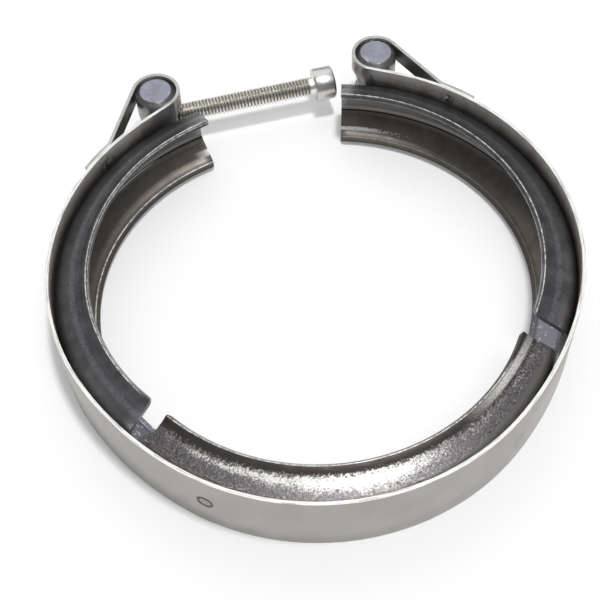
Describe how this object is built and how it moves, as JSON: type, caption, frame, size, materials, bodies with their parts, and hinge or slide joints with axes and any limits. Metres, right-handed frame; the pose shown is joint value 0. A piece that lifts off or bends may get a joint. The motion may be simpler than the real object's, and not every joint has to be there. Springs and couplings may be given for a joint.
{
  "type": "exhaust v-band clamp",
  "caption": "Sprung-open V-band clamp: a steel strap with wrapped, windowed ends carries V-section retainers, swivelling trunnions and a socket-head cap screw that draws pipe flanges together.",
  "frame": {"origin": "centre of the strap's front arc, on the clamp's mid-plane half way up the strap", "axes": "+Z along the ring's axis, +Y from the front arc towards the opening, +X to the right arm, so the cap screw lies nearly along +X"},
  "size_m": [0.1426, 0.1473, 0.0222],
  "materials": {
    "strap_steel": "satin rolled stainless strip with bright sheared edges",
    "retainer_steel": "dark grey formed sheet, speckled and burnished on the legs",
    "trunnion_steel": "turned bar with blue-grey end faces and small scuffs",
    "screw_steel": "bright rolled thread, slightly warm"
  },
  "bodies": {
    "strap": {"outer_strap": "strap_steel", "front_retainer": "retainer_steel", "left_retainer": "retainer_steel", "right_retainer": "retainer_steel"},
    "left_trunnion": {"left_trunnion": "trunnion_steel"},
    "screw": {"cap_screw": "screw_steel"},
    "right_trunnion": {"right_trunnion": "trunnion_steel"}
  },
  "joints": [
    {"name": "left_trunnion_swivel", "type": "hinge", "parent": "strap", "child": "left_trunnion", "pos_m": [-0.03066, 0.0747, 0], "axis": [0, 0, 1], "range_deg": [0, 20]},
    {"name": "screw_travel", "type": "slide", "parent": "left_trunnion", "child": "screw", "axis": [0.9998, 0.0218, 0], "range_m": [-0.014, 0.0035]},
    {"name": "right_trunnion_swivel", "type": "hinge", "parent": "strap", "child": "right_trunnion", "pos_m": [0.0355, 0.0738, 0], "axis": [0, 0, 1], "range_deg": [-20, 20]}
  ]
}
